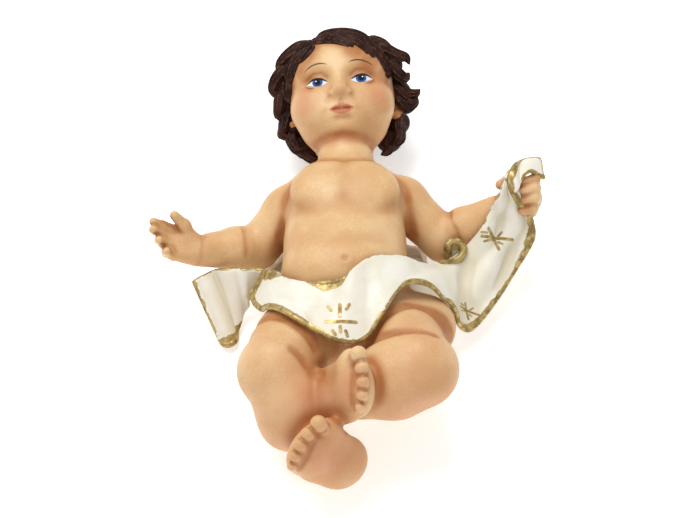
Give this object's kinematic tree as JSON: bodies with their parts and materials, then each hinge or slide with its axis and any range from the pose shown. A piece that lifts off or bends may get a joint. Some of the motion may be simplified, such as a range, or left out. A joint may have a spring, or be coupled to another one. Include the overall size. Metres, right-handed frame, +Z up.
{
  "type": "baby jesus figurine",
  "caption": "Cast and hand-painted nativity infant lying on its back, with curled hair, one open hand, crossed feet and a gold-edged cloth held in the other fist.",
  "frame": {"origin": "middle of the bounding box, on the ground it lies on", "axes": "+Y from the feet to the crown of the head, +X to the child's left, +Z up, the way the chest faces"},
  "size_m": [0.1484, 0.199, 0.0588],
  "materials": {
    "skin": "satin hand-painted resin, warm flesh with orange-brown blush in the creases",
    "hair": "satin paint over resin, near-black brown with dry-brushed reddish ridges",
    "cloth": "satin cream-white paint over resin",
    "gold": "antique gold paint, brushed on by hand"
  },
  "bodies": {
    "root": {"figurine": "skin"}
  },
  "joints": []
}
